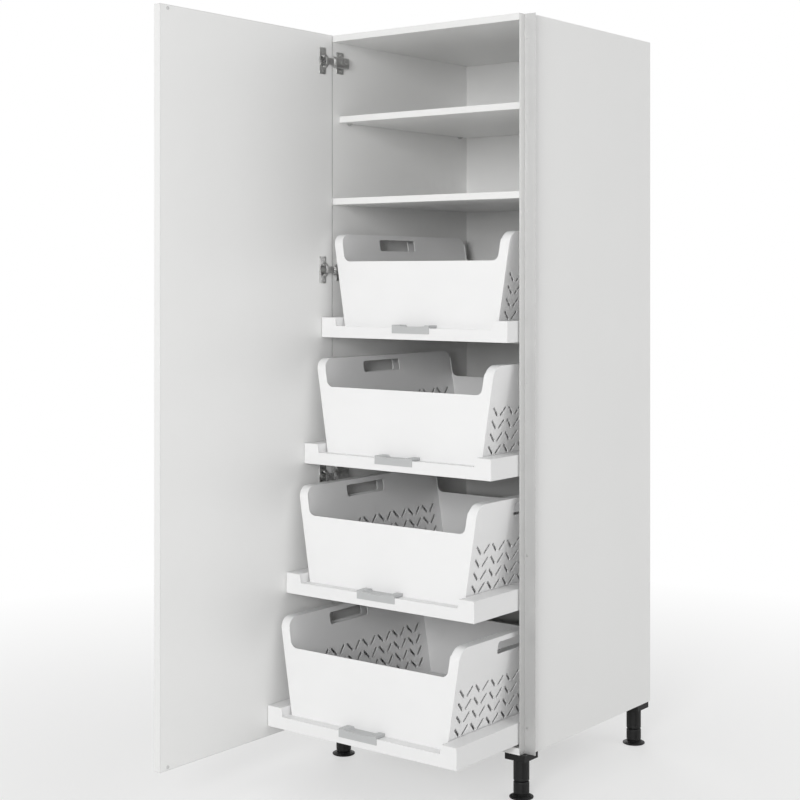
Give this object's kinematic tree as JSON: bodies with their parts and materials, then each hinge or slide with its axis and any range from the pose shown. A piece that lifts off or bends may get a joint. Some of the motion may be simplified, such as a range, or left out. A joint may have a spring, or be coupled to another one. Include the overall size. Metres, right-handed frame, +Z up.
{
  "type": "laundry cabinet",
  "caption": "Tall freestanding cabinet on levelling feet: hinged door, shelves on top, pull-out trays below that each carry a lift-off perforated basket, recessed grip profile",
  "frame": {"origin": "bottom centre of the bounding box as the cabinet stands with its door open at a right angle and its trays out in steps; the floor is z = 0", "axes": "+X to the right seen from the front, +Y towards the back, +Z up"},
  "size_m": [0.6166, 1.201, 1.835],
  "materials": {
    "panel": "white melamine-faced chipboard with edge banding, satin",
    "back": "white lacquered fibreboard, matte",
    "dowel": "fluted beech dowel, raw",
    "profile": "natural anodised extrusion, satin",
    "steel": "zinc plated, bright",
    "hinge": "nickel plated pressed steel, satin",
    "runner": "white powder coat, satin",
    "bumper": "clear soft elastomer, matte",
    "foot": "black moulded plastic, matte",
    "tray": "white moulded plastic, fine texture",
    "clip": "light grey moulded plastic, satin",
    "basket": "white moulded plastic, satin"
  },
  "bodies": {
    "carcass": {"side_left": "panel", "side_right": "panel", "top_panel": "panel", "bottom_panel": "panel", "back_panel": "back", "fixed_shelf": "panel", "adjustable_shelf": "panel", "shelf_pins": "steel", "carcass_dowels": "dowel", "grip_web": "profile", "grip_flange": "profile", "grip_screws": "steel", "hinge_link_pins": "steel", "hinge_arms": "hinge", "hinge_plates": "hinge", "hinge_plate_screws": "steel", "foot_sockets": "foot", "foot_screws": "steel", "foot_tubes": "foot", "cabinet_rails": "runner", "rail_screws": "steel"},
    "door": {"door_panel": "panel", "door_bumpers": "bumper", "hinge_cups": "hinge", "hinge_cup_screws": "steel"},
    "links": {"hinge_links": "hinge"},
    "tray_1_unit": {"tray_1": "tray", "tray_clip_1": "clip", "tray_rails_1": "runner"},
    "tray_2_unit": {"tray_2": "tray", "tray_clip_2": "clip", "tray_rails_2": "runner"},
    "tray_3_unit": {"tray_3": "tray", "tray_clip_3": "clip", "tray_rails_3": "runner"},
    "tray_4_unit": {"tray_4": "tray", "tray_clip_4": "clip", "tray_rails_4": "runner"},
    "middle_1": {"middle_rails_1": "runner"},
    "middle_2": {"middle_rails_2": "runner"},
    "middle_3": {"middle_rails_3": "runner"},
    "middle_4": {"middle_rails_4": "runner"},
    "basket_1_loose": {"basket_1": "basket"},
    "basket_2_loose": {"basket_2": "basket"},
    "basket_3_loose": {"basket_3": "basket"},
    "basket_4_loose": {"basket_4": "basket"},
    "adjuster_1": {"foot_1": "foot"},
    "adjuster_2": {"foot_2": "foot"},
    "adjuster_3": {"foot_3": "foot"},
    "adjuster_4": {"foot_4": "foot"}
  },
  "joints": [
    {"name": "door_swing", "type": "hinge", "parent": "carcass", "child": "door", "pos_m": [-0.29825, -0.0055, 0.971], "axis": [0, 0, -1], "range_deg": [0, 20]},
    {"name": "links_turn", "type": "hinge", "parent": "carcass", "child": "links", "pos_m": [-0.28175, 0.0065, 0.971], "axis": [0, 0, -1], "range_deg": [0, 10]},
    {"name": "tray_1_slide", "type": "slide", "parent": "carcass", "child": "tray_1_unit", "axis": [0, -1, 0], "range_m": [-0.048, 0.452]},
    {"name": "middle_1_slide", "type": "slide", "parent": "carcass", "child": "middle_1", "axis": [0, -1, 0], "range_m": [-0.024, 0.226]},
    {"name": "tray_2_slide", "type": "slide", "parent": "carcass", "child": "tray_2_unit", "axis": [0, -1, 0], "range_m": [-0.115, 0.385]},
    {"name": "middle_2_slide", "type": "slide", "parent": "carcass", "child": "middle_2", "axis": [0, -1, 0], "range_m": [-0.0575, 0.1925]},
    {"name": "tray_3_slide", "type": "slide", "parent": "carcass", "child": "tray_3_unit", "axis": [0, -1, 0], "range_m": [-0.182, 0.318]},
    {"name": "middle_3_slide", "type": "slide", "parent": "carcass", "child": "middle_3", "axis": [0, -1, 0], "range_m": [-0.091, 0.159]},
    {"name": "tray_4_slide", "type": "slide", "parent": "carcass", "child": "tray_4_unit", "axis": [0, -1, 0], "range_m": [-0.249, 0.251]},
    {"name": "middle_4_slide", "type": "slide", "parent": "carcass", "child": "middle_4", "axis": [0, -1, 0], "range_m": [-0.1245, 0.1255]},
    {"name": "basket_1_lift", "type": "slide", "parent": "tray_1_unit", "child": "basket_1_loose", "axis": [0, 0, 1], "range_m": [0, 0.045]},
    {"name": "basket_2_lift", "type": "slide", "parent": "tray_2_unit", "child": "basket_2_loose", "axis": [0, 0, 1], "range_m": [0, 0.045]},
    {"name": "basket_3_lift", "type": "slide", "parent": "tray_3_unit", "child": "basket_3_loose", "axis": [0, 0, 1], "range_m": [0, 0.045]},
    {"name": "basket_4_lift", "type": "slide", "parent": "tray_4_unit", "child": "basket_4_loose", "axis": [0, 0, 1], "range_m": [0, 0.045]},
    {"name": "foot_1_level", "type": "slide", "parent": "carcass", "child": "adjuster_1", "axis": [0, 0, 1], "range_m": [-0.02, 0.0025]},
    {"name": "foot_2_level", "type": "slide", "parent": "carcass", "child": "adjuster_2", "axis": [0, 0, 1], "range_m": [-0.02, 0.0025]},
    {"name": "foot_3_level", "type": "slide", "parent": "carcass", "child": "adjuster_3", "axis": [0, 0, 1], "range_m": [-0.02, 0.0025]},
    {"name": "foot_4_level", "type": "slide", "parent": "carcass", "child": "adjuster_4", "axis": [0, 0, 1], "range_m": [-0.02, 0.0025]}
  ],
  "couplings": [
    {"joint": "links_turn", "follows": "door_swing", "ratio": 0.5},
    {"joint": "middle_1_slide", "follows": "tray_1_slide", "ratio": 0.5},
    {"joint": "middle_2_slide", "follows": "tray_2_slide", "ratio": 0.5},
    {"joint": "middle_3_slide", "follows": "tray_3_slide", "ratio": 0.5},
    {"joint": "middle_4_slide", "follows": "tray_4_slide", "ratio": 0.5}
  ]
}
